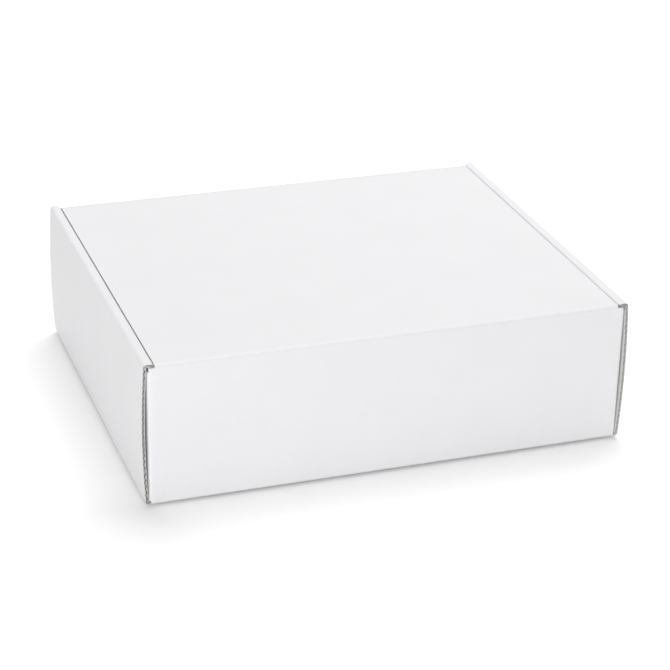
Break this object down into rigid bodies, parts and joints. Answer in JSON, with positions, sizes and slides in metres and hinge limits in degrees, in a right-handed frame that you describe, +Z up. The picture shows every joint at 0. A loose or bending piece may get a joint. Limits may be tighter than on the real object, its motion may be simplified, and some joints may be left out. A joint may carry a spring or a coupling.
{
  "type": "corrugated mailer box",
  "caption": "White corrugated mailer box with rolled double side walls, a lid hinged on the rear wall's crease and a tuck flap with wings.",
  "frame": {"origin": "centre of the underside of the closed box, on the surface it stands on", "axes": "+X along the long side, +Y towards the wall that the lid hinges on, +Z up"},
  "size_m": [0.2524, 0.208, 0.075],
  "materials": {
    "white_board": "matte"
  },
  "bodies": {
    "tray": {"tray": "white_board"},
    "lid": {"lid": "white_board"}
  },
  "joints": [
    {"name": "lid_hinge", "type": "hinge", "parent": "tray", "child": "lid", "pos_m": [0, 0.10347, 0.07387], "axis": [-1, 0, 0], "range_deg": [0, 180]}
  ]
}
